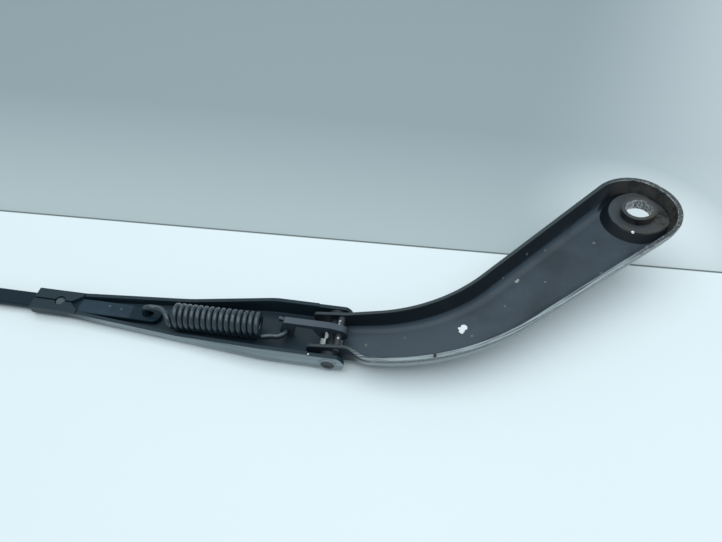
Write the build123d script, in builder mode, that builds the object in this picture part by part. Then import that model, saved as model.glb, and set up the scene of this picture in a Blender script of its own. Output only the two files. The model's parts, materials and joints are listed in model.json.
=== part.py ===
import os
from math import atan2, cos, degrees, hypot, pi, radians, sin, tan

from build123d import *

# A windscreen wiper arm, seen from its underside, which points up. The origin is the middle of the spindle
# bore. The arm runs towards -X, its spring channel lies level, and the head slopes up to the spindle.

# Hinge
hinge_height = 5.6          # hinge axis above the back of the channel
head_tilt = 9.0             # the head's slope against the channel, in degrees
head_drop = 5.5             # hinge axis to the back of the head's web
rivet_r = 2.3
rivet_head_r = 3.9
rivet_head_h = 0.6
rivet_dish_r = 2.7           # hollow in the end of the rivet
bush_wall = 0.7
bush_flange_r = 4.7
bush_seat = 0.08            # a bush's flange stands this far off the head's ear
running_gap = 0.05          # radial play of the bushes on the rivet
side_gap = 0.15             # side play between a bush's flange and the channel's ear
stop_gap = 0.1              # the head's ears over the channel's web, which stops the arm

# Head
head_sheet = 2.0
head_height = 12.2          # back of the web to the rim
head_edge_r = 4.0           # bend at the foot of the flanges, outside and inside
floor_edge_r = 4.5
head_lean = 4.2             # the flanges lean out by this from the back to the rim, and round the end by more
end_lean = 5.4
ear_reach = 10.0            # the ears reach this far past the hinge axis
ear_half = 10.0             # outer faces of the head's ears
ear_corner_r = 2.5
web_start = 4.0             # the web begins here, past the hinge axis
far_neck_end = 6.0          # the far flange turns outward here
neck_end = 9.0              # the near flange steps out between these two stations
jog_end = 17.5
jog_out = 5.4
jog_r = 8.0
near_run = 2.0              # straight of the near flange between its step and its bend
near_bend_r = 105.0
far_bend_x = 47.6
far_bend_y = 15.0
far_bend_r = 75.0
bore_x = 141.8              # spindle bore from the hinge, along and across the arm
bore_y = 79.65
end_angle = 42.2            # direction of the head's wide end
end_far_reach = 18.9        # bore to the end of the head, at its two corners
end_near_reach = 17.2
end_far_r = 19.5
end_near_r = 23.5
end_far_run = 4.9           # straights across the end, beside its round corners
end_near_run = 0.5
end_rim = 2.8               # width of the rim round the end
rim_r = 0.4                 # the rim's two edges are rubbed round

# Spindle seat
seat_r = 14.4
seat_rise = 4.0
seat_slope = 3.6            # width of the sloping ring round the seat
seat_shift = 1.6            # the seat's middle lies past the bore, towards the end of the head
nut_well_r = 10.5           # well for the nut on the head's outer side
collar_r = 8.0
collar_height = 3.8
bore_r = 6.1

# Spring channel
arm_sheet = 1.8
arm_half = 14.2             # outer faces of the channel's ears
arm_widest_x = 31.0         # the channel starts to taper here
arm_length = 148.0
grip_length = 19.0          # the channel has the rod's width over its last stretch
arm_taper_x = arm_length - grip_length
arm_edge_r = 2.4
taper_r = 70.0
rise_r = 60.0
flange_low = 6.0            # flange height along the front half of the spring
flange_high = 11.1
flange_rise_x0 = 72.0
flange_rise_x1 = 29.0
ear_top = 10.6              # top of the ears above the back of the channel
ear_out = 1.6               # the ears are round about a point this far past the rivet
ear_step_x = 9.0            # the ear's top edge steps down here
web_end_x = 6.5             # end of the channel's web, before the hinge
crimp_length = 18.5
crimp_flare = 5.0            # the folds open out over this length
seam_width = 0.8

# Rod
rod_width = 8.0
rod_thickness = 3.0
rod_edge_r = 0.7
rod_tip_x = 84.0
rod_end_x = 335.0           # start of the hook's bend
hook_inner_r = 4.5
hook_tail = 17.0
stud_inset = 13.2           # the stud from the channel's end
stud_x = arm_length - stud_inset
stud_r = 2.2
stud_h = 1.2

# Spring and link
pin_r = 1.6
pin_x = 3.0                 # anchor pin from the hinge axis
pin_z = 4.6
pin_gap = 0.08
link_thickness = 3.2
link_side_gap = 0.5         # between the link and the ends of the bushes
link_top = 9.6              # top edge of the link above the hinge axis
link_depth = 2.4            # height of the link's strap
link_eye_x = 21.5
link_eye_z = 2.2
link_eye_r = 3.1
link_eye_gap = 0.5
link_hook_wall = 2.5
lobe_x = 5.4                # the lobe that hangs from the strap before the rivet
lobe_z = 0.3
lobe_width = 3.9
wire_r = 1.3
coil_r = 5.05
coils = 15
coil_pitch = 2.8
coil_start_x = 75.8         # the end towards the rod
coil_start_z = 2.75
coil_side = 1.5             # the coils lie this far to the near side of the middle
coil_rise = 1.5             # the spring's axis rises by this along its length
spring_hole_x = 91.6
wire_gap = 0.3
lift_range = 50.0           # the arm folds back this far from its working position
link_share = 0.9            # the link turns by this share of it
stretch = 2.3               # the spring draws out this much on the way

# The head's own plane leans against the level channel. Its place follows from the bore at the origin.
seat_back = seat_rise - head_drop
bore_length = head_sheet + collar_height
bore_mid = seat_back + bore_length / 2
tilt = radians(head_tilt)
hinge = Vector(
    bore_mid * sin(tilt) - bore_x * cos(tilt),
    -bore_y,
    -bore_x * sin(tilt) - bore_mid * cos(tilt),
)
arm = Plane(hinge)
arm_side = Plane(hinge, x_dir=(1, 0, 0), z_dir=(0, -1, 0))
head = Plane(hinge, x_dir=(cos(tilt), 0, sin(tilt)), z_dir=(-sin(tilt), 0, cos(tilt)))
head_side = Plane(hinge, x_dir=head.x_dir, z_dir=(0, -1, 0))
head_up = Axis(head.origin, head.z_dir)
head_along = Axis(head.origin, head.x_dir)
channel_floor = arm_sheet - hinge_height
channel_inner = arm_half - arm_sheet
bush_r = rivet_r + running_gap + bush_wall

# Mounting head: a deep pressing, drawn as one closed form between its back and its rim and hollowed from the
# open side. Its flanges stand upright at the ears and lean out beyond them.
end_u = Vector(cos(radians(end_angle)), sin(radians(end_angle)))
end_v = Vector(-end_u.Y, end_u.X)
bore_at = Vector(bore_x, bore_y)
seat_at = bore_at + end_u * seat_shift
bend_share = tan(radians(end_angle / 2))
near_bend_x = jog_end + near_run + near_bend_r * bend_share


def head_outline(level, bend=0.0, side_wall=0.0, end_wall=0.0):
    """The head's outline at a level above its back, drawn in by the bend there and by the sheet's wall."""
    side = side_wall + bend + head_lean * (1 - level / head_height)
    end = end_wall + bend + end_lean * (1 - level / head_height)
    half = ear_half - side_wall - bend
    near_y = side - ear_half - jog_out
    near_end = bore_at + end_u * (end_near_reach - end) - end_v * (end_near_r + end_near_run - end)
    far_end = bore_at + end_u * (end_far_reach - end) + end_v * (end_far_r + end_far_run - end)
    near_radii = [0, jog_r, jog_r, near_bend_r - side, end_near_r - end]
    far_radii = [end_far_r - end, far_bend_r + side, 2 * jog_r, 0]
    with BuildSketch() as outline:
        with BuildLine():
            FilletPolyline(
                (-ear_reach, -half),
                (neck_end, -half),
                (jog_end, near_y),
                (near_bend_x - side * bend_share, near_y),
                (near_end.X, near_end.Y),
                (far_end.X, far_end.Y),
                (far_bend_x + side * bend_share, far_bend_y - side),
                (far_neck_end, half),
                (-ear_reach, half),
                radius=near_radii + far_radii,
                close=True,
            )
        make_face()
    return outline.sketch_local


def bend_levels(radius):
    """Heights and insets of a few sections round the bend at the foot of a leaning flange."""
    lean_angle = atan2(head_lean, head_height)
    reach = radius * tan((pi / 2 - lean_angle) / 2)
    levels = []
    for turn in (90, 66, 42):
        rise = radius - radius * sin(radians(turn))
        levels.append((rise, reach - radius * cos(radians(turn)) + rise * tan(lean_angle)))
    levels.append((reach * cos(lean_angle), 0))
    return levels


form_sections = [(rise, head_outline(rise, inset)) for rise, inset in bend_levels(head_edge_r)]
form_sections += [(level, head_outline(level)) for level in (head_height * 0.45, head_height * 0.7, head_height)]
hollow_sections = []
for rise, inset in bend_levels(floor_edge_r):
    level = head_sheet + rise
    hollow_sections.append((level, head_outline(level, inset, head_sheet, end_rim)))
for level in (head_height * 0.6, head_height * 0.8, head_height + head_sheet):
    hollow_sections.append((level, head_outline(level, 0, head_sheet, end_rim)))

with BuildPart() as head_form:
    for level, section in form_sections:
        with BuildSketch(head.offset(level - head_drop)):
            add(section)
    loft()

with BuildPart() as head_hollow:
    for level, section in hollow_sections:
        with BuildSketch(head.offset(level - head_drop)):
            add(section)
    loft()

# Spindle seat: a plateau with a sloping ring, which runs out into the flange round the end.
with BuildPart() as spindle_seat:
    with BuildSketch(head.offset(head_sheet - head_drop)):
        with Locations((seat_at.X, seat_at.Y)):
            Circle(seat_r + seat_slope)
    extrude(amount=seat_rise, taper=degrees(atan2(seat_slope, seat_rise)))
    add(head_form.part, mode=Mode.INTERSECT)

with BuildPart() as mounting_head:
    add(head_form.part)
    add(head_hollow.part, mode=Mode.SUBTRACT)
    fillet(mounting_head.faces().filter_by(head_up).sort_by(head_up)[-1].edges(), radius=rim_r)
    add(spindle_seat.part)
    # The web stops short of the hinge, and the ears end in tabs that rest on the channel's web.
    with BuildSketch(head):
        with Locations((-ear_reach, 0)):
            Rectangle(2 * (ear_reach + web_start), 2 * (ear_half - head_sheet))
    extrude(amount=2 * head_height, both=True, mode=Mode.SUBTRACT)
    with BuildSketch(arm_side):
        with BuildLine():
            Polyline(
                (-ear_reach - 2 * ear_corner_r, channel_floor + stop_gap + 3 * ear_corner_r),
                (-ear_reach + ear_corner_r, channel_floor + stop_gap),
                (0, channel_floor + stop_gap),
                (rivet_r, -hinge_height),
                (rivet_r, -3 * hinge_height),
                (-ear_reach - 2 * ear_corner_r, -3 * hinge_height),
                close=True,
            )
        make_face()
    extrude(amount=2 * ear_half, both=True, mode=Mode.SUBTRACT)
    with BuildSketch(head_side):
        with Locations((ear_corner_r - ear_reach, head_height - head_drop - ear_corner_r)):
            Rectangle(2 * ear_corner_r, 2 * ear_corner_r, align=(Align.MAX, Align.MIN))
            Circle(ear_corner_r, mode=Mode.SUBTRACT)
    extrude(amount=2 * ear_half, both=True, mode=Mode.SUBTRACT)
    # Holes for the bushes and for the anchor pin.
    with BuildSketch(arm_side):
        Circle(bush_r)
        with Locations((pin_x, pin_z)):
            Circle(pin_r)
    extrude(amount=2 * ear_half, both=True, mode=Mode.SUBTRACT)
    # A collar drawn up round the spindle's bore, and the nut's well behind it.
    with BuildSketch(head.offset(seat_back + head_sheet)):
        with Locations((bore_x, bore_y)):
            Circle(collar_r)
    extrude(amount=collar_height)
    with BuildSketch(head.offset(-head_drop)):
        with Locations((bore_x, bore_y)):
            Circle(nut_well_r)
    extrude(amount=seat_rise, taper=8, mode=Mode.SUBTRACT)
    with BuildSketch(head.offset(-head_drop)):
        with Locations((bore_x, bore_y)):
            Circle(bore_r)
    extrude(amount=2 * head_height, mode=Mode.SUBTRACT)

# Anchor pin: pressed through both ears, flush with their outer faces.
with BuildPart() as anchor_pin:
    with BuildSketch(arm_side):
        with Locations((pin_x, pin_z)):
            Circle(pin_r)
    extrude(amount=ear_half, both=True)
    chamfer(anchor_pin.edges(), length=0.3)

# Hinge bushes: a sleeve through the head's ear that reaches in to the link, and a flange that fills the gap
# to the channel's ear.
flange_t = channel_inner - ear_half - side_gap
sleeve_end = link_thickness / 2 + link_side_gap
with BuildPart() as hinge_bush_near:
    with BuildSketch(arm_side.offset(ear_half + bush_seat)):
        Circle(bush_flange_r)
    extrude(amount=flange_t - bush_seat)
    with BuildSketch(arm_side.offset(sleeve_end)):
        Circle(bush_r)
    extrude(amount=ear_half + bush_seat - sleeve_end)
    with BuildSketch(arm_side.offset(sleeve_end)):
        Circle(rivet_r + running_gap)
    extrude(amount=ear_half - sleeve_end + flange_t, mode=Mode.SUBTRACT)

with BuildPart() as hinge_bush_far:
    add(hinge_bush_near.part)
    mirror(about=arm_side, mode=Mode.REPLACE)

# Hinge rivet: one shank through both sides, closed by a low head on each ear of the channel.
with BuildPart() as hinge_rivet:
    with BuildSketch(arm_side):
        Circle(rivet_r)
    extrude(amount=arm_half, both=True)
    for face_plane in (arm_side.offset(arm_half), arm_side.offset(-arm_half - rivet_head_h)):
        with BuildSketch(face_plane):
            Circle(rivet_head_r)
        extrude(amount=rivet_head_h)
    fillet(hinge_rivet.edges().filter_by(GeomType.CIRCLE).group_by(Axis.Y)[0], radius=rivet_head_h / 2)
    fillet(hinge_rivet.edges().filter_by(GeomType.CIRCLE).group_by(Axis.Y)[-1], radius=rivet_head_h / 2)
    for end_plane in (arm_side.offset(arm_half + rivet_head_h), arm_side.offset(-arm_half - rivet_head_h)):
        with BuildSketch(end_plane):
            Circle(rivet_dish_r)
        extrude(amount=rivet_head_h, both=True, taper=45, mode=Mode.SUBTRACT)

# Spring channel: a pressing with a level web. Its flanges grow into the hinge's ears at one end, and fold
# over the rod at the other.
rod_floor = channel_floor
rod_top = rod_floor + rod_thickness
crimp_half = rod_width / 2 + arm_sheet
with BuildSketch() as arm_outline:
    with BuildLine():
        FilletPolyline(
            (hinge_height + ear_out, -arm_half),
            (hinge_height + ear_out, arm_half),
            (-arm_widest_x, arm_half),
            (-arm_taper_x, crimp_half),
            (-arm_length, crimp_half),
            (-arm_length, -crimp_half),
            (-arm_taper_x, -crimp_half),
            (-arm_widest_x, -arm_half),
            radius=[0, 0, taper_r, taper_r, 0, 0, taper_r, taper_r],
            close=True,
        )
    make_face()

with BuildPart() as arm_hollow:
    with BuildSketch(arm.offset(channel_floor)):
        offset(arm_outline.sketch_local, amount=-arm_sheet)
        with Locations((-arm_length, 0)):
            Rectangle(4 * arm_sheet, rod_width)
        with Locations((hinge_height + ear_out, 0)):
            Rectangle(4 * arm_sheet, 2 * channel_inner)
    extrude(amount=flange_high)
    foot = arm_hollow.faces().sort_by(Axis.Z)[0].edges().filter_by(Axis.Y, reverse=True)
    fillet(foot, radius=arm_edge_r - arm_sheet)

with BuildPart() as retainer_channel:
    with BuildSketch(arm.offset(-hinge_height)):
        add(arm_outline.sketch_local)
    extrude(amount=flange_high)
    foot = retainer_channel.faces().sort_by(Axis.Z)[0].edges().sort_by(Axis.X)[1:-1]
    fillet(foot, radius=arm_edge_r)
    add(arm_hollow.part, mode=Mode.SUBTRACT)
    # Flange height: low beside the spring, then rising to the ears.
    with BuildSketch(arm_side):
        with BuildLine():
            FilletPolyline(
                (-2 * arm_length, flange_low - hinge_height),
                (-flange_rise_x0, flange_low - hinge_height),
                (-flange_rise_x1, flange_high - hinge_height),
                (-ear_step_x, flange_high - hinge_height),
                (-ear_step_x, ear_top - hinge_height),
                (3 * hinge_height, ear_top - hinge_height),
                (3 * hinge_height, 3 * flange_high),
                (-2 * arm_length, 3 * flange_high),
                radius=[0, rise_r, rise_r, 0, 0, 0, 0, 0],
                close=True,
            )
        make_face()
    extrude(amount=2 * arm_half, both=True, mode=Mode.SUBTRACT)
    # The ears are round about the rivet.
    with BuildSketch(arm_side):
        with Locations((ear_out, 0)):
            Rectangle(2 * hinge_height, 4 * hinge_height, align=(Align.MIN, Align.CENTER))
            Circle(hinge_height, mode=Mode.SUBTRACT)
    extrude(amount=2 * arm_half, both=True, mode=Mode.SUBTRACT)
    # The web ends before the hinge, so that the link can swing through.
    with BuildSketch(arm.offset(-2 * hinge_height)):
        with Locations((-web_end_x, 0)):
            Rectangle(4 * hinge_height, 2 * channel_inner, align=(Align.MIN, Align.CENTER))
    extrude(amount=2 * hinge_height, mode=Mode.SUBTRACT)
    with BuildSketch(arm_side):
        Circle(rivet_r)
    extrude(amount=2 * arm_half, both=True, mode=Mode.SUBTRACT)
    # Crimp: both flanges folded over the rod, open round its stud and flaring into the channel.
    with BuildSketch(arm.offset(rod_top)):
        with Locations((-arm_length, 0)):
            Rectangle(crimp_length + crimp_flare, 2 * crimp_half, align=(Align.MIN, Align.CENTER))
        with BuildLine(mode=Mode.PRIVATE) as flare:
            Polyline(
                (crimp_length - arm_length, 0),
                (crimp_length + 2 * crimp_flare - arm_length, 2 * (crimp_half - arm_sheet)),
                (crimp_length + 2 * crimp_flare - arm_length, -2 * (crimp_half - arm_sheet)),
                close=True,
            )
        make_face(flare.edges(), mode=Mode.SUBTRACT)
        with Locations((-arm_length, 0)):
            Rectangle(4 * crimp_length, seam_width, mode=Mode.SUBTRACT)
        with Locations((-stud_x, 0)):
            Circle(stud_r + wire_gap, mode=Mode.SUBTRACT)
    extrude(amount=arm_sheet)

# Rod: a rolled flat bar that lies in the channel, bent back into a hook for the blade.
rod_mid = rod_floor + rod_thickness / 2
hook_mid_r = hook_inner_r + rod_thickness / 2
with BuildPart() as arm_rod:
    with BuildLine(arm_side) as rod_path:
        bar = Line((-rod_tip_x, rod_mid), (-rod_end_x, rod_mid))
        bend = RadiusArc(bar @ 1, (-rod_end_x, rod_mid + 2 * hook_mid_r), hook_mid_r)
        Line(bend @ 1, (hook_tail - rod_end_x, rod_mid + 2 * hook_mid_r))
    with BuildSketch(Plane(rod_path.line @ 0, x_dir=(0, 1, 0), z_dir=rod_path.line % 0)):
        RectangleRounded(rod_width, rod_thickness, rod_edge_r)
    sweep()
    # Rounded inner tip, and the slot that takes the spring's hook.
    with BuildSketch(arm):
        with Locations((-rod_tip_x - rod_width / 2, 0)):
            Rectangle(rod_width, 2 * rod_width, align=(Align.MIN, Align.CENTER))
            Circle(rod_width / 2, mode=Mode.SUBTRACT)
        with Locations((stretch / 2 - spring_hole_x, 0)):
            SlotOverall(stretch + 2 * (wire_r + wire_gap), 2 * (wire_r + wire_gap))
    extrude(amount=hinge_height, both=True, mode=Mode.SUBTRACT)
    with BuildSketch(arm.offset(rod_top)):
        with Locations((-stud_x, 0)):
            Circle(stud_r)
    extrude(amount=stud_h)
    fillet(arm_rod.faces().filter_by(Axis.Z).filter_by(GeomType.PLANE).group_by(Axis.Z)[-1].edges(), 0.2)

# Spring link: a stamped plate on edge. Its hook wraps the anchor pin, its eye takes the spring, and the
# relief below its strap is the path that the rivet takes past the link when the arm folds back.
pin_reach = hypot(pin_x, pin_z)
hook_r = pin_r + pin_gap + link_hook_wall
strap_r = link_depth / 2
with BuildPart() as spring_link:
    with BuildSketch(arm_side):
        with Locations((-link_eye_x, link_eye_z)):
            Circle(link_eye_r)
        with Locations((pin_x, pin_z)):
            Circle(hook_r)
        with Locations((-link_eye_x, link_top - strap_r), (-strap_r, link_top - strap_r)):
            Circle(strap_r)
        make_hull()
        with BuildLine(mode=Mode.PRIVATE) as under:
            Polyline(
                (-link_eye_x + link_eye_r, -3 * link_top),
                (-link_eye_x + link_eye_r, link_eye_z),
                (-link_eye_x + 1.6 * link_eye_r, link_top - link_depth),
                (-lobe_x - lobe_width, link_top - link_depth),
                (-lobe_x, lobe_z),
                (pin_x - pin_r / 4, lobe_z),
                (pin_x - pin_r / 4, -3 * link_top),
                close=True,
            )
        make_face(under.edges(), mode=Mode.SUBTRACT)
        with BuildLine(mode=Mode.PRIVATE) as rivet_path:
            CenterArc((pin_x, pin_z), pin_reach, degrees(atan2(-pin_z, -pin_x)), -link_share * lift_range)
        SlotArc(rivet_path.edge(), height=2 * (rivet_r + wire_gap), mode=Mode.SUBTRACT)
        with Locations((pin_x, pin_z)):
            Circle(pin_r + pin_gap, mode=Mode.SUBTRACT)
        with Locations((-link_eye_x, link_eye_z)):
            Circle(wire_r + link_eye_gap, mode=Mode.SUBTRACT)
    extrude(amount=link_thickness / 2, both=True)

# Tension spring: close coils, one hook down through the rod's slot and one loop through the link's eye.
coil_length = coils * coil_pitch
coil_run = (coil_length**2 - coil_rise**2) ** 0.5
coil_at = hinge + Vector(-coil_start_x, -coil_side, coil_start_z)
coil_plane = Plane(coil_at, x_dir=(0, -1, 0), z_dir=(coil_run, 0, coil_rise))
hook_top = hinge + Vector(coil_r + wire_r - spring_hole_x, 0, coil_start_z + coil_r / 2)
hook_down = hinge + Vector(-spring_hole_x, 0, rod_top + wire_r)
hook_tip = hinge + Vector(-spring_hole_x, 0, rod_floor + wire_gap)
loop_plane = Plane(hinge + Vector(-link_eye_x - coil_r, 0, link_eye_z))
with BuildPart() as tension_spring:
    with BuildLine() as coil:
        add(Helix(coil_pitch, coil_length, coil_r, mode=Mode.PRIVATE).moved(coil_plane.location))
    with BuildSketch(Plane(coil.line @ 0, z_dir=coil.line % 0)):
        Circle(wire_r)
    sweep(path=coil.line, is_frenet=True)
    with BuildLine() as rod_hook:
        rise = Spline(coil.line @ 0, hook_top, tangents=(-(coil.line % 0), (-1, 0, 0)))
        drop = Spline(rise @ 1, hook_down, tangents=((-1, 0, 0), (0, 0, -1)))
        Line(drop @ 1, hook_tip)
    with BuildSketch(Plane(rod_hook.line @ 0, z_dir=rod_hook.line % 0)):
        Circle(wire_r)
    sweep(path=rod_hook.line)
    with BuildLine() as link_loop:
        loop_start = loop_plane.from_local_coords((0, -coil_r, 0))
        Spline(coil.line @ 1, loop_start, tangents=(coil.line % 1, (1, 0, 0)))
    with BuildLine(loop_plane) as link_bow:
        CenterArc((0, 0), coil_r, -90, 180)
    with BuildSketch(Plane(link_loop.line @ 0, z_dir=link_loop.line % 0)):
        Circle(wire_r)
    sweep(path=link_loop.line)
    with BuildSketch(Plane(link_bow.line @ 0, z_dir=link_bow.line % 0)):
        Circle(wire_r)
    sweep(path=link_bow.line)

os.makedirs("parts", exist_ok=True)
mounting_head.part.label = "mounting_head"
export_step(mounting_head.part, "parts/mounting_head.step")
anchor_pin.part.label = "anchor_pin"
export_step(anchor_pin.part, "parts/anchor_pin.step")
hinge_bush_near.part.label = "hinge_bush_near"
export_step(hinge_bush_near.part, "parts/hinge_bush_near.step")
hinge_bush_far.part.label = "hinge_bush_far"
export_step(hinge_bush_far.part, "parts/hinge_bush_far.step")
hinge_rivet.part.label = "hinge_rivet"
export_step(hinge_rivet.part, "parts/hinge_rivet.step")
retainer_channel.part.label = "retainer_channel"
export_step(retainer_channel.part, "parts/retainer_channel.step")
arm_rod.part.label = "arm_rod"
export_step(arm_rod.part, "parts/arm_rod.step")
spring_link.part.label = "spring_link"
export_step(spring_link.part, "parts/spring_link.step")
tension_spring.part.label = "tension_spring"
export_step(tension_spring.part, "parts/tension_spring.step")
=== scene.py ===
import json
import math

import bpy
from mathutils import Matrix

# The arm as it is packed: metres, underside up, origin in the middle of the spindle bore.
# The photographer looks down on it from the front, a little to the left of the bend.
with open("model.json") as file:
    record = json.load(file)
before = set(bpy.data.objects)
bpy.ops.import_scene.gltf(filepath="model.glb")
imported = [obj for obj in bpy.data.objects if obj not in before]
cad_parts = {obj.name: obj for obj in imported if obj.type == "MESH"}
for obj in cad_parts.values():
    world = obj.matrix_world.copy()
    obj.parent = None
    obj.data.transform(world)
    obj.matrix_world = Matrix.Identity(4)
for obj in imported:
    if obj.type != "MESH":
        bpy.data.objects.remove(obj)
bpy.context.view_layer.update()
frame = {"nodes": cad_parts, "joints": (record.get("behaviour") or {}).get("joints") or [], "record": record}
bpy.ops.object.select_all(action="DESELECT")

camera_place = (-0.106838, -0.21035, 0.190844)
camera_pitch = math.radians(39)
camera_turn = math.radians(8.7)
picture_width = 722
focal_pixels = 542
bpy.ops.object.camera_add(location=camera_place, rotation=(camera_pitch, 0, camera_turn))
viewpoint = bpy.context.object
viewpoint.name = "viewpoint"
viewpoint.data.sensor_fit = "HORIZONTAL"
viewpoint.data.sensor_width = 36
viewpoint.data.lens = focal_pixels / picture_width * viewpoint.data.sensor_width
viewpoint.data.clip_start = 0.01
bpy.context.scene.camera = viewpoint
bpy.context.scene.view_settings.view_transform = "Standard"


# The white table that the arm lies on, with the back of its channel on the top.
# It is a smooth laminate, one flat sheet of a faintly uneven tone, with a painted shadow line along its far
# edge.
table_size = (3.0, 1.0, 1)
table_middle = (-0.151, -0.5138)
table_turn = math.radians(2.1)
table_z = -0.029156
table_clearance = 0.0003
far_edge = -0.0088
edge_shadow_width = 0.0005
laminate = (0.745, 0.84, 0.87, 1)
laminate_pale = (0.775, 0.87, 0.90, 1)
edge_shadow_grey = (0.13, 0.16, 0.16, 1)


def feed(tree, socket, value):
    """Links a socket to another one, or sets it to a plain value."""
    if isinstance(value, bpy.types.NodeSocket):
        tree.links.new(value, socket)
    else:
        socket.default_value = value


def ramp(tree, source, start, end, low=0.0, high=1.0, kind="SMOOTHSTEP"):
    """Goes from low to high as a socket goes from one value to another, up or down."""
    node = tree.nodes.new("ShaderNodeMapRange")
    node.interpolation_type = kind
    feed(tree, node.inputs["Value"], source)
    feed(tree, node.inputs["From Min"], start)
    feed(tree, node.inputs["From Max"], end)
    feed(tree, node.inputs["To Min"], low)
    feed(tree, node.inputs["To Max"], high)
    return node.outputs["Result"]


def measured(tree, kind, source, other=None):
    """The length of a vector, its distance from a place, or how far it goes along a direction."""
    node = tree.nodes.new("ShaderNodeVectorMath")
    node.operation = kind
    feed(tree, node.inputs[0], source)
    if other is not None:
        feed(tree, node.inputs[1], other)
    return node.outputs["Value"]


def clouds(tree, vector, scale, detail=2.0, roughness=0.5):
    """An uneven value about 0.5, with its patches about one part in scale of a metre across."""
    node = tree.nodes.new("ShaderNodeTexNoise")
    feed(tree, node.inputs["Vector"], vector)
    feed(tree, node.inputs["Scale"], scale)
    feed(tree, node.inputs["Detail"], detail)
    feed(tree, node.inputs["Roughness"], roughness)
    return node.outputs["Fac"]


def lay_over(tree, under, over, mask):
    """Changes one colour to another as a mask goes from 0 to 1."""
    node = tree.nodes.new("ShaderNodeMix")
    node.data_type = "RGBA"
    feed(tree, node.inputs["Factor"], mask)
    feed(tree, node.inputs["A"], under)
    feed(tree, node.inputs["B"], over)
    return node.outputs["Result"]


def plain_finish(name, roughness, specular):
    """A new material with its node tree, its shader and the place of each point on the object."""
    look = bpy.data.materials.new(name)
    look.use_nodes = True
    tree = look.node_tree
    skin = tree.nodes["Principled BSDF"]
    skin.inputs["Roughness"].default_value = roughness
    skin.inputs["Specular IOR Level"].default_value = specular
    return look, tree, skin, tree.nodes.new("ShaderNodeTexCoord")


bpy.ops.mesh.primitive_plane_add(size=1, location=(*table_middle, table_z - table_clearance))
table = bpy.context.object
table.name = "table_top"
table.scale = table_size
table.rotation_euler = (0, 0, table_turn)
bpy.ops.object.transform_apply(location=True, rotation=True, scale=True)
table_look, tree, skin, place = plain_finish("white_laminate", roughness=0.55, specular=0.3)
uneven = ramp(tree, clouds(tree, place.outputs["Object"], 3.0), 0.3, 0.7, kind="LINEAR")
tone = lay_over(tree, laminate, laminate_pale, uneven)
away = (-math.sin(table_turn), math.cos(table_turn), 0)
reach = measured(tree, "DOT_PRODUCT", place.outputs["Object"], away)
# Painted shadow: a thin dark line along the far edge.
in_edge_shadow = ramp(tree, reach, far_edge - edge_shadow_width, far_edge, kind="LINEAR")
feed(tree, skin.inputs["Base Color"], lay_over(tree, tone, edge_shadow_grey, in_edge_shadow))
table.data.materials.append(table_look)


# The grey board behind and just below the table's far edge.
# It is matt and paler near the table; towards the right and in a pool below the spindle end it is painted
# paler still, as light.
board_size = (4.0, 1.6, 1)
board_z = table_z - 0.004
pool_middle = (0.031, 0.023, board_z)
pool_radius = 0.09
window_way = (1, -0.25, 0)
card_grey = (0.295, 0.358, 0.388, 1)
card_pale = (0.425, 0.515, 0.53, 1)
card_lit = (0.80, 0.88, 0.91, 1)


def combined(tree, kind, *values, clamp=False):
    """Masks and numbers put together by a sum, a product or the like."""
    node = tree.nodes.new("ShaderNodeMath")
    node.operation = kind
    node.use_clamp = clamp
    for socket, value in zip(node.inputs, values):
        feed(tree, socket, value)
    return node.outputs[0]


bpy.ops.mesh.primitive_plane_add(size=1, location=(0, 0.55, board_z))
board = bpy.context.object
board.name = "grey_board"
board.scale = board_size
bpy.ops.object.transform_apply(location=True, rotation=True, scale=True)
board_look, tree, skin, place = plain_finish("grey_card", roughness=0.8, specular=0.2)
back = measured(tree, "DOT_PRODUCT", place.outputs["Object"], (0, 1, 0))
tone = lay_over(tree, card_grey, card_pale, ramp(tree, back, 0.10, -0.01, kind="LINEAR"))
# Painted light: a pool below the spindle end and a brightening from the window towards the right.
from_pool = measured(tree, "DISTANCE", place.outputs["Object"], pool_middle)
to_window = measured(tree, "DOT_PRODUCT", place.outputs["Object"], window_way)
pool = ramp(tree, from_pool, pool_radius, 0.0, high=0.76)
window_light = ramp(tree, to_window, -0.08, 0.12, high=0.5)
lit = combined(tree, "MAXIMUM", pool, window_light)
feed(tree, skin.inputs["Base Color"], lay_over(tree, tone, card_lit, lit))
board.data.materials.append(board_look)


# Soft studio light: one large panel straight above the arm, and an even room light.
# Both are plain and a little cool, so that a colour renders about as it is written.
bpy.ops.object.light_add(type="AREA", location=(-0.1, 0.0, 1.0))
panel = bpy.context.object
panel.name = "overhead_panel"
panel.data.shape = "RECTANGLE"
panel.data.size = 1.6
panel.data.size_y = 1.1
panel.data.energy = 8.9
panel.data.color = (0.97, 1.0, 1.0)
room = bpy.data.worlds.new("room")
bpy.context.scene.world = room
room.use_nodes = True
room.node_tree.nodes["Background"].inputs["Color"].default_value = (0.86, 0.94, 1.0, 1)
room.node_tree.nodes["Background"].inputs["Strength"].default_value = 0.565


# Mounting head: one pressing in 2 mm steel, dipped in satin black paint after forming. The rim is thinly
# covered, with pale lines along the near side and flecks round the spindle end. The outside has gone grey in
# the sun, the bore is bare knurled metal, and the floor has chips and spots of white paint.
head_up = next(mount for mount in frame["record"]["mounts"] if mount["name"] == "spindle_bore")["axis"]
head_tilt = math.asin(-head_up[0])
floor = -0.0049
seat = -0.0009
seat_edge = -0.0018
rim_level = 0.0048
ring_radius = 0.0188
bare_radius = 0.0062
knurl_teeth = 64
ears_end = -0.134
end_start = -0.017
nick_at = -0.0939
pits_at = (0.0125, -0.0035, seat)
# In plan the near rim runs straight along the neck, turns in one round bend and climbs straight to the end.
neck_rim = -0.0934
bend_at = -0.081
bend_round = 0.04
end_climb = 0.82
half_width = 0.0175

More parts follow.
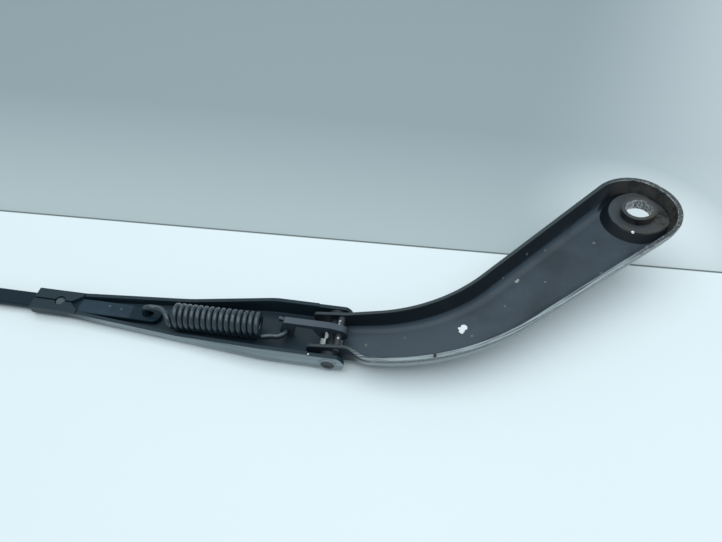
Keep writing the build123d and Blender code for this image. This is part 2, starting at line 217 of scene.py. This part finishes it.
head_black = (0.010, 0.0175, 0.0245, 1)
head_dusty = (0.042, 0.065, 0.086, 1)
ring_shade_black = (0.002, 0.007, 0.012, 1)
dirt_brown = (0.052, 0.052, 0.047, 1)
wall_chalk = (0.22, 0.255, 0.27, 1)
wall_chalk_pale = (0.295, 0.34, 0.355, 1)
back_grey = (0.030, 0.038, 0.043, 1)
back_grey_pale = (0.105, 0.122, 0.130, 1)
rim_dark = (0.030, 0.045, 0.052, 1)
rim_streak = (0.30, 0.365, 0.385, 1)
end_rim_dark = (0.040, 0.051, 0.055, 1)
end_fleck = (0.19, 0.21, 0.21, 1)
arris_highlight_pale = (0.40, 0.46, 0.48, 1)
steel_dull = (0.20, 0.21, 0.21, 1)
steel_bright = (0.92, 0.94, 0.94, 1)
spot_white = (0.80, 0.85, 0.87, 1)
speck_grey = (0.11, 0.13, 0.135, 1)
chip_pale = (0.30, 0.33, 0.33, 1)
nick_dark = (0.012, 0.016, 0.018, 1)
pit_black = (0.008, 0.010, 0.010, 1)

white_spots = [
    ((-0.0828, -0.0691, floor), 0.0017), ((-0.0836, -0.0712, floor), 0.0013),
    ((-0.0843, -0.0698, floor), 0.0010), ((-0.0039, -0.0124, seat), 0.0008),
]
grey_specks = [
    ((-0.0790, -0.0735, floor), 0.0007), ((-0.0644, -0.0562, floor), 0.0006),
    ((-0.0652, -0.0416, -0.0023), 0.0006), ((-0.0539, -0.0286, 0.0004), 0.0007),
    ((-0.0458, -0.0414, floor), 0.0006), ((-0.1267, -0.0809, floor), 0.0008),
    ((-0.1091, -0.0761, floor), 0.0006), ((-0.0204, -0.0355, -0.0046), 0.0008),
    ((-0.0214, -0.0161, floor), 0.0009), ((-0.0449, -0.0222, -0.0036), 0.0006),
]
long_chip = [((-0.0588, -0.0415, floor), 0.0009), ((-0.0581, -0.0405, floor), 0.0007)]


def new_group(name, takes, gives):
    """An empty shader group with its named inputs and outputs."""
    group = bpy.data.node_groups.new(name, "ShaderNodeTree")
    for label, kind, value in takes:
        socket = group.interface.new_socket(label, in_out="INPUT", socket_type=kind)
        if value is not None:
            socket.default_value = value
    for label, kind in gives:
        group.interface.new_socket(label, in_out="OUTPUT", socket_type=kind)
    return group, group.nodes.new("NodeGroupInput").outputs, group.nodes.new("NodeGroupOutput").inputs


# Satin paint: the dipped film's slow change of tone, a bloom of dust and a fine grain.
satin, given, result = new_group(
    "satin_paint",
    [("Vector", "NodeSocketVector", None), ("Dark", "NodeSocketColor", (0.03, 0.04, 0.047, 1)),
     ("Dusty", "NodeSocketColor", (0.06, 0.075, 0.085, 1)), ("Dust", "NodeSocketFloat", 0.5)],
    [("Color", "NodeSocketColor"), ("Roughness", "NodeSocketFloat"), ("Height", "NodeSocketFloat")],
)
slow = clouds(satin, given["Vector"], 45, detail=5, roughness=0.62)
swing = ramp(satin, slow, 0.35, 0.68, low=0.4, kind="LINEAR")
dusted = combined(satin, "MULTIPLY", swing, given["Dust"])
feed(satin, result["Color"], lay_over(satin, given["Dark"], given["Dusty"], dusted))
feed(satin, result["Roughness"], ramp(satin, slow, 0.0, 1.0, low=0.42, high=0.56, kind="LINEAR"))
feed(satin, result["Height"], clouds(satin, given["Vector"], 1500))

# Rubbed band: 1 where a value passes a level, with a ragged border.
rubbed, given, result = new_group(
    "rubbed_band",
    [("Vector", "NodeSocketVector", None), ("Value", "NodeSocketFloat", 0.0),
     ("Level", "NodeSocketFloat", 0.0), ("Ragged", "NodeSocketFloat", 0.0005),
     ("Soft", "NodeSocketFloat", 0.0002)],
    [("Mask", "NodeSocketFloat")],
)
centred = combined(rubbed, "SUBTRACT", clouds(rubbed, given["Vector"], 900, detail=3), 0.5)
shifted = combined(rubbed, "MULTIPLY_ADD", centred, given["Ragged"], given["Value"])
passed = combined(rubbed, "SUBTRACT", shifted, given["Level"])
feed(rubbed, result["Mask"], combined(rubbed, "DIVIDE", passed, given["Soft"], clamp=True))

# Ragged spot: 1 inside an uneven blot about a point.
blot, given, result = new_group(
    "ragged_spot",
    [("Vector", "NodeSocketVector", None), ("Centre", "NodeSocketVector", None),
     ("Size", "NodeSocketFloat", 0.002)],
    [("Mask", "NodeSocketFloat")],
)
wobble = combined(blot, "MULTIPLY_ADD", clouds(blot, given["Vector"], 1000, detail=3), 1.1, 0.35)
border = combined(blot, "MULTIPLY", wobble, given["Size"])
apart = measured(blot, "DISTANCE", given["Vector"], given["Centre"])
feed(blot, result["Mask"], combined(blot, "LESS_THAN", apart, border))

# Rubbed flecks: small sharp scars, denser where more of the surface is to be covered.
flecks, given, result = new_group(
    "rubbed_flecks",
    [("Vector", "NodeSocketVector", None), ("Scale", "NodeSocketFloat", 700.0),
     ("Cover", "NodeSocketFloat", 0.4)],
    [("Mask", "NodeSocketFloat")],
)
scars = clouds(flecks, given["Vector"], given["Scale"], detail=4, roughness=0.7)
limit = combined(flecks, "SUBTRACT", 0.75, combined(flecks, "MULTIPLY", given["Cover"], 0.4))
above = combined(flecks, "SUBTRACT", scars, limit)
feed(flecks, result["Mask"], combined(flecks, "MULTIPLY", above, 12, clamp=True))


def placed(tree, group, vector, **values):
    """Places a shader group in a material with its own values."""
    node = tree.nodes.new("ShaderNodeGroup")
    node.node_tree = group
    feed(tree, node.inputs["Vector"], vector)
    for label, value in values.items():
        feed(tree, node.inputs[label], value)
    return node


def product(tree, first, *others):
    """Where all of some masks are 1."""
    whole = first
    for mask in others:
        whole = combined(tree, "MULTIPLY", whole, mask)
    return whole


def flattened(tree, source, keep):
    """A place with the directions taken out that are 0 in keep."""
    node = tree.nodes.new("ShaderNodeVectorMath")
    node.operation = "MULTIPLY"
    feed(tree, node.inputs[0], source)
    feed(tree, node.inputs[1], keep)
    return node.outputs["Vector"]


def paint(name, dark, dusty, dust=0.5):
    """A material in satin paint over a fine grain, ready for its own marks."""
    look, tree, skin, place = plain_finish(name, roughness=0.5, specular=0.3)
    skin.inputs["Coat Weight"].default_value = 0.08
    skin.inputs["Coat Roughness"].default_value = 0.3
    film = placed(tree, satin, place.outputs["Object"], Dark=dark, Dusty=dusty, Dust=dust)
    grain = tree.nodes.new("ShaderNodeBump")
    grain.inputs["Strength"].default_value = 0.35
    grain.inputs["Distance"].default_value = 0.00004
    feed(tree, grain.inputs["Height"], film.outputs["Height"])
    feed(tree, skin.inputs["Base Color"], film.outputs["Color"])
    feed(tree, skin.inputs["Roughness"], film.outputs["Roughness"])
    feed(tree, skin.inputs["Normal"], grain.outputs["Normal"])
    return look, tree, skin, place, film


def spots(tree, vector, colour, marks, tint):
    """Lays a set of uneven blots over a colour, each with its place and size."""
    for centre, size in marks:
        mark = placed(tree, blot, vector, Centre=centre, Size=size)
        colour = lay_over(tree, colour, tint, mark.outputs["Mask"])
    return colour


def dress(look, *names):
    """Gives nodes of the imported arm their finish."""
    for name in names:
        for slot in frame["nodes"][name].material_slots:
            slot.material = look


head_look, tree, skin, place, film = paint("head_satin_black", head_black, head_dusty)
turned = tree.nodes.new("ShaderNodeMapping")
turned.inputs["Rotation"].default_value = (0, head_tilt, 0)
feed(tree, turned.inputs["Vector"], place.outputs["Object"])
level = turned.outputs["Vector"]
split = tree.nodes.new("ShaderNodeSeparateXYZ")
feed(tree, split.inputs["Vector"], level)
run, side, height = split.outputs["X"], split.outputs["Y"], split.outputs["Z"]
up = measured(tree, "DOT_PRODUCT", place.outputs["Normal"], head_up)
from_bore = measured(tree, "LENGTH", flattened(tree, level, (1, 1, 0)))

# Dust lies on what faces up, thicker at the foot of the walls and towards the neck; at the foot it is also
# painted light that lifts the shade in the fillet. The seat's sloping ring is painted near-black as shade.
silted = combined(tree, "MULTIPLY_ADD", ramp(tree, run, -0.06, -0.12), 1.3, 1.0)
# Dust at the foot of the walls, also painted light that lifts the shade in the fillets.
foot_dust_and_light = combined(tree, "SUBTRACT", ramp(tree, up, 0.36, 0.5), ramp(tree, up, 0.8, 0.97))
lying = product(tree, ramp(tree, up, 0.36, 0.55), silted)
feed(tree, film.inputs["Dust"], combined(tree, "MULTIPLY_ADD", foot_dust_and_light, 0.6, lying))
# Painted shade: the sloping faces round the seat are near-black.
by_seat = ramp(tree, from_bore, ring_radius, ring_radius - 0.001)
on_shaded_ring = combined(tree, "SUBTRACT", by_seat, ramp(tree, up, 0.75, 0.95), clamp=True)
colour = lay_over(tree, film.outputs["Color"], ring_shade_black, on_shaded_ring)

# Brown dirt is packed in round the seat, and the outside is faded: the walls pale, the back darker.
grime = clouds(tree, place.outputs["Object"], 160, detail=5)
in_end = ramp(tree, run, -0.024, 0.004)
on_seat = ramp(tree, height, seat_edge, seat_edge + 0.0008)
packed_in = product(tree, in_end, ramp(tree, grime, 0.22, 0.62), on_seat)
colour = lay_over(tree, colour, dirt_brown, packed_in)
chalk = placed(tree, satin, place.outputs["Object"], Dark=wall_chalk, Dusty=wall_chalk_pale, Dust=1.0)
weathered = placed(tree, satin, place.outputs["Object"], Dark=back_grey, Dusty=back_grey_pale, Dust=1.0)
colour = lay_over(tree, colour, chalk.outputs["Color"], ramp(tree, up, -0.1, -0.3))
colour = lay_over(tree, colour, weathered.outputs["Color"], ramp(tree, up, -0.5, -0.92))

# The rim: dark film, pale streaks that follow the near side, flecks round the end, and broken painted
# highlights along its rounded corners.
band = placed(
    tree, rubbed, place.outputs["Object"], Value=height, Level=rim_level, Ragged=0.0005, Soft=0.0003)
rim = band.outputs["Mask"]
colour = lay_over(tree, colour, rim_dark, rim)
climb = combined(tree, "MULTIPLY", combined(tree, "SUBTRACT", run, bend_at), end_climb)
rim_line = combined(tree, "ADD", combined(tree, "SMOOTH_MAX", climb, 0.0, bend_round), neck_rim)
nearness = combined(tree, "SUBTRACT", rim_line, side)
near_side = ramp(tree, nearness, -half_width, 0.006 - half_width)
near_rim = product(tree, rim, near_side, ramp(tree, run, ears_end, ears_end + 0.012))
drawn_out = tree.nodes.new("ShaderNodeCombineXYZ")
feed(tree, drawn_out.inputs["X"], run)
feed(tree, drawn_out.inputs["Y"], combined(tree, "MULTIPLY", nearness, 30.0))
streaks = ramp(tree, clouds(tree, drawn_out.outputs["Vector"], 45, detail=4), 0.36, 0.58)
colour = lay_over(tree, colour, rim_streak, product(tree, near_rim, streaks))
end_rim = product(tree, rim, ramp(tree, run, end_start, 0.004))
colour = lay_over(tree, colour, end_rim_dark, end_rim)
scarred = placed(tree, flecks, place.outputs["Object"], Scale=900.0, Cover=0.55)
colour = lay_over(tree, colour, end_fleck, product(tree, end_rim, scarred.outputs["Mask"]))
# Painted highlight: broken pale lines on the rim's rounded edges, along the near side and the end.
arris = product(tree, ramp(tree, up, 0.15, 0.35), ramp(tree, up, 0.97, 0.80))
highlit_arris = product(tree, rim, arris, combined(tree, "MAXIMUM", near_rim, end_rim))
colour = lay_over(tree, colour, arris_highlight_pale, product(tree, highlit_arris, ramp(tree, grime, 0.36, 0.56)))

# The bore: bare metal, torn by the spindle's knurl into fine upright teeth.
inward = combined(tree, "MULTIPLY", from_bore, -1)
stripped = placed(
    tree, rubbed, place.outputs["Object"], Value=inward, Level=-bare_radius, Ragged=0.0005, Soft=0.0002)
bare = stripped.outputs["Mask"]
angle = combined(tree, "ARCTAN2", side, run)
teeth = combined(tree, "SINE", combined(tree, "MULTIPLY", angle, knurl_teeth))
torn = clouds(tree, place.outputs["Object"], 1300, detail=4)
steel = lay_over(tree, steel_dull, steel_bright, ramp(tree, torn, 0.36, 0.58))
colour = lay_over(tree, colour, steel, bare)
ridges = product(tree, bare, combined(tree, "ADD", teeth, torn))
grain = tree.nodes["Bump"]
feed(tree, grain.inputs["Height"], combined(tree, "MULTIPLY_ADD", ridges, 4.0, film.outputs["Height"]))

# Marks: white paint spots, specks and a chip on the floor, a nick in the near rim, and pits beside the seat.
colour = spots(tree, level, colour, white_spots, spot_white)
colour = spots(tree, level, colour, grey_specks, speck_grey)
colour = spots(tree, level, colour, long_chip, chip_pale)
off_nick = combined(tree, "ABSOLUTE", combined(tree, "SUBTRACT", run, nick_at))
colour = lay_over(tree, colour, nick_dark, product(tree, near_rim, ramp(tree, off_nick, 0.0009, 0.0004)))
pits = placed(tree, flecks, level, Scale=520.0, Cover=0.62)
patch = ramp(tree, measured(tree, "DISTANCE", level, pits_at), 0.0085, 0.0045)
pitted = product(tree, pits.outputs["Mask"], patch, ramp(tree, up, 0.0, 0.2))
colour = lay_over(tree, colour, pit_black, pitted)
feed(tree, skin.inputs["Base Color"], colour)
feed(tree, skin.inputs["Metallic"], bare)
dress(head_look, "mounting_head")


# Retainer channel: pressed from thinner sheet and folded round the rod, in the same dipped paint.
# Its outside has gone grey in the sun, all but the folds. Its edges are dark, its down-facing bends are
# painted dark as shade, and an ear is chipped.
hinge = next(joint for joint in frame["joints"] if joint["name"] == "arm_hinge")
hinge_x, hinge_y, hinge_z = hinge["pos_m"]
flange_top = -0.0246
folds_end = -0.272
channel_black = (0.012, 0.027, 0.038, 1)
channel_dusty = (0.022, 0.040, 0.056, 1)
sheltered_black = (0.030, 0.046, 0.056, 1)
channel_chalk = (0.04, 0.058, 0.066, 1)
channel_chalk_pale = (0.315, 0.38, 0.405, 1)
fold_shade_dark = (0.05, 0.065, 0.07, 1)
edge_dark = (0.014, 0.030, 0.041, 1)
ear_steel = (0.60, 0.66, 0.67, 1)
ear_chip = [((-0.1485, -0.0930, -0.0186), 0.0005)]

channel_look, tree, skin, place, film = paint("channel_satin_black", channel_black, channel_dusty)
skin.inputs["Specular IOR Level"].default_value = 0.18
split = tree.nodes.new("ShaderNodeSeparateXYZ")
feed(tree, split.inputs["Vector"], place.outputs["Object"])
facing = tree.nodes.new("ShaderNodeSeparateXYZ")
feed(tree, facing.inputs["Vector"], place.outputs["Normal"])
up = facing.outputs["Z"]
feed(tree, film.inputs["Dust"], ramp(tree, up, 0.5, 0.97))
off_middle = combined(tree, "SUBTRACT", split.outputs["Y"], hinge_y)
outward = combined(tree, "MULTIPLY", off_middle, facing.outputs["Y"])
outside = combined(tree, "MAXIMUM", ramp(tree, outward, 0.0008, 0.0025), ramp(tree, up, -0.2, -0.6))
colour = lay_over(tree, film.outputs["Color"], sheltered_black, outside)
stretched = tree.nodes.new("ShaderNodeMapping")
stretched.inputs["Scale"].default_value = (0.4, 2, 22)
feed(tree, stretched.inputs["Vector"], place.outputs["Object"])
drawn_out = stretched.outputs["Vector"]
chalk = placed(tree, satin, drawn_out, Dark=channel_chalk, Dusty=channel_chalk_pale, Dust=1.0)
in_sun = ramp(tree, split.outputs["X"], folds_end, -0.246)
colour = lay_over(tree, colour, chalk.outputs["Color"], product(tree, outside, in_sun))
back = ramp(tree, up, -0.93, -0.99)
# Painted shade: the bends that face down towards the table are dark.
shaded_fold = combined(tree, "SUBTRACT", ramp(tree, up, -0.3, -0.55), back)
colour = lay_over(tree, colour, fold_shade_dark, shaded_fold)
weathered = placed(tree, satin, drawn_out, Dark=back_grey, Dusty=back_grey_pale, Dust=1.0)
colour = lay_over(tree, colour, weathered.outputs["Color"], back)
height = split.outputs["Z"]
edge = placed(
    tree, rubbed, place.outputs["Object"], Value=height, Level=flange_top, Ragged=0.0006, Soft=0.0003)
colour = lay_over(tree, colour, edge_dark, product(tree, edge.outputs["Mask"], ramp(tree, up, 0.55, 0.85)))
colour = spots(tree, place.outputs["Object"], colour, ear_chip, ear_steel)
feed(tree, skin.inputs["Base Color"], colour)
dress(channel_look, "retainer_channel")


# Rod: a rolled flat bar, staked and crimped into the channel and painted with it.
# The stake's end is rubbed bare, and the bar is dusty where the channel lies open beside the spring.
bay_start = -0.2660
bay_end = -0.2382
rod_black = (0.004, 0.017, 0.027, 1)
rod_dusty = (0.034, 0.060, 0.086, 1)
stake_grey = (0.075, 0.10, 0.115, 1)
rod_speck_grey = (0.09, 0.11, 0.12, 1)
stake_end = [((-0.2749, -0.0797, -0.0232), 0.0022)]
rod_specks = [((-0.2504, -0.0781, -0.0244), 0.0006), ((-0.2441, -0.0790, -0.0244), 0.0005)]

rod_look, tree, skin, place, film = paint("rod_satin_black", rod_black, rod_dusty)
skin.inputs["Specular IOR Level"].default_value = 0.14
skin.inputs["Coat Weight"].default_value = 0.02
up = measured(tree, "DOT_PRODUCT", place.outputs["Normal"], (0, 0, 1))
run = measured(tree, "DOT_PRODUCT", place.outputs["Object"], (1, 0, 0))
past_folds = ramp(tree, run, bay_start, bay_start + 0.002)
open_bay = product(tree, past_folds, ramp(tree, run, bay_end, bay_end - 0.0012))
covered = combined(tree, "MULTIPLY_ADD", open_bay, 0.85, 0.05)
feed(tree, film.inputs["Dust"], product(tree, ramp(tree, up, 0.5, 0.97), covered))
colour = spots(tree, place.outputs["Object"], film.outputs["Color"], stake_end, stake_grey)
colour = spots(tree, place.outputs["Object"], colour, rod_specks, rod_speck_grey)
feed(tree, skin.inputs["Base Color"], colour)
dress(rod_look, "arm_rod")


# Tension spring: cold-wound wire with a thin black coat, a little glossier than the paint.
# The coat is rubbed grey on the upward tops of the coils, which is also a painted highlight.
wire_black = (0.004, 0.014, 0.022, 1)
wire_dusty = (0.012, 0.030, 0.044, 1)
wire_rubbed_highlight = (0.058, 0.102, 0.130, 1)

spring_look, tree, skin, place, film = paint("spring_black_wire", wire_black, wire_dusty, dust=0.6)
skin.inputs["Coat Weight"].default_value = 0.8
skin.inputs["Coat Roughness"].default_value = 0.16
up = measured(tree, "DOT_PRODUCT", place.outputs["Normal"], (0, 0, 1))
# Rubbing and painted highlight: grey where the coils face up.
chafed_and_highlit = placed(tree, rubbed, place.outputs["Object"], Value=up, Level=0.88, Ragged=0.5, Soft=0.2)
colour = lay_over(tree, film.outputs["Color"], wire_rubbed_highlight, chafed_and_highlit.outputs["Mask"])
feed(tree, skin.inputs["Base Color"], colour)
dress(spring_look, "tension_spring")


# Spring link: a stamped plate on edge, black coated.
# Its upper edge is dusty, in a tone raised to stand for a painted sheen, and the flat beside the eye is
# rubbed bright by the spring's hook.
link_black = (0.026, 0.040, 0.054, 1)
link_dusty_sheen = (0.070, 0.096, 0.122, 1)
link_rubbed = (0.22, 0.26, 0.28, 1)
hook_marks = [((-0.1660, -0.0810, -0.0145), 0.0009), ((-0.1640, -0.0808, -0.0140), 0.0006)]

link_look, tree, skin, place, film = paint("link_black_coat", link_black, link_dusty_sheen)
up = measured(tree, "DOT_PRODUCT", place.outputs["Normal"], (0, 0, 1))
# Dust on the upper faces, its pale tone partly a painted sheen.
feed(tree, film.inputs["Dust"], ramp(tree, up, 0.4, 0.95))
colour = spots(tree, place.outputs["Object"], film.outputs["Color"], hook_marks, link_rubbed)
feed(tree, skin.inputs["Base Color"], colour)
dress(link_look, "spring_link")


# Hinge rivet, and the pin that anchors the link across the head's ears: plain steel in black.
# The pin is rubbed bright where the link rocks on it, and the rivet's brim has faded with the ears.
rubbed_radius = 0.0031
heads_start = 0.0138
hinge_black = (0.020, 0.026, 0.030, 1)
hinge_dusty = (0.070, 0.085, 0.092, 1)
pin_bright = (0.38, 0.42, 0.43, 1)
brim_faded = (0.21, 0.255, 0.275, 1)
pin_marks = [
    ((-0.1374, -0.0743, -0.0175), 0.0007), ((-0.1375, -0.0760, -0.0176), 0.0006),
    ((-0.1367, -0.0835, -0.0174), 0.0006),
]

hinge_look, tree, skin, place, film = paint("hinge_black_steel", hinge_black, hinge_dusty, dust=0.6)
colour = spots(tree, place.outputs["Object"], film.outputs["Color"], pin_marks, pin_bright)
in_profile = flattened(tree, place.outputs["Object"], (1, 0, 1))
from_axis = measured(tree, "DISTANCE", in_profile, (hinge_x, 0, hinge_z))
brim = placed(
    tree, rubbed, place.outputs["Object"], Value=from_axis, Level=rubbed_radius, Ragged=0.0004, Soft=0.0003)
across = measured(tree, "DOT_PRODUCT", place.outputs["Object"], (0, 1, 0))
off_middle = combined(tree, "ABSOLUTE", combined(tree, "SUBTRACT", across, hinge_y))
heads = ramp(tree, off_middle, heads_start, heads_start + 0.0003)
colour = lay_over(tree, colour, brim_faded, product(tree, brim.outputs["Mask"], heads))
feed(tree, skin.inputs["Base Color"], colour)
dress(hinge_look, "hinge_rivet", "anchor_pin")


# Hinge bushes: two flanged bushes between the ears of the head and of the channel.
# They are turned and blackened, dark and matt.
bush_black = (0.008, 0.014, 0.018, 1)
bush_dusty = (0.020, 0.030, 0.036, 1)

bush_look = paint("bush_dark", bush_black, bush_dusty)[0]
dress(bush_look, "hinge_bush_near", "hinge_bush_far")
